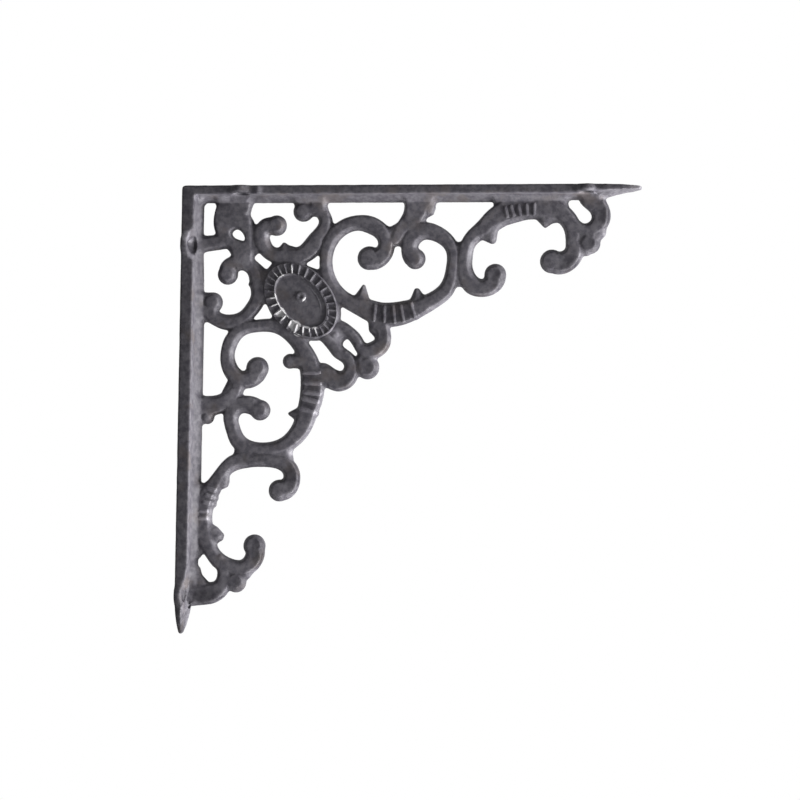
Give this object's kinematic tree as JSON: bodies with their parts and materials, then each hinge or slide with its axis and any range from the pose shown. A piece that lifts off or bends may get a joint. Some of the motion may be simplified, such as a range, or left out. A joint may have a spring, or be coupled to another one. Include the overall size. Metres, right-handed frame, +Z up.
{
  "type": "shelf bracket",
  "caption": "Ornate right-angle shelf bracket in cast iron, with screw plates along wall and shelf and pierced scrollwork around a fluted oval medallion.",
  "frame": {"origin": "outer corner on the mid-plane: where the wall face and the shelf face meet", "axes": "+X out from the wall under the shelf, +Z up to the shelf, Y across the plates; the web stands on Y = 0"},
  "size_m": [0.204, 0.0231, 0.197],
  "materials": {
    "iron": "satin black-grey on a sand-cast skin, rubbed to brighter metal on the highest edges"
  },
  "bodies": {
    "root": {"bracket": "iron"}
  },
  "joints": []
}
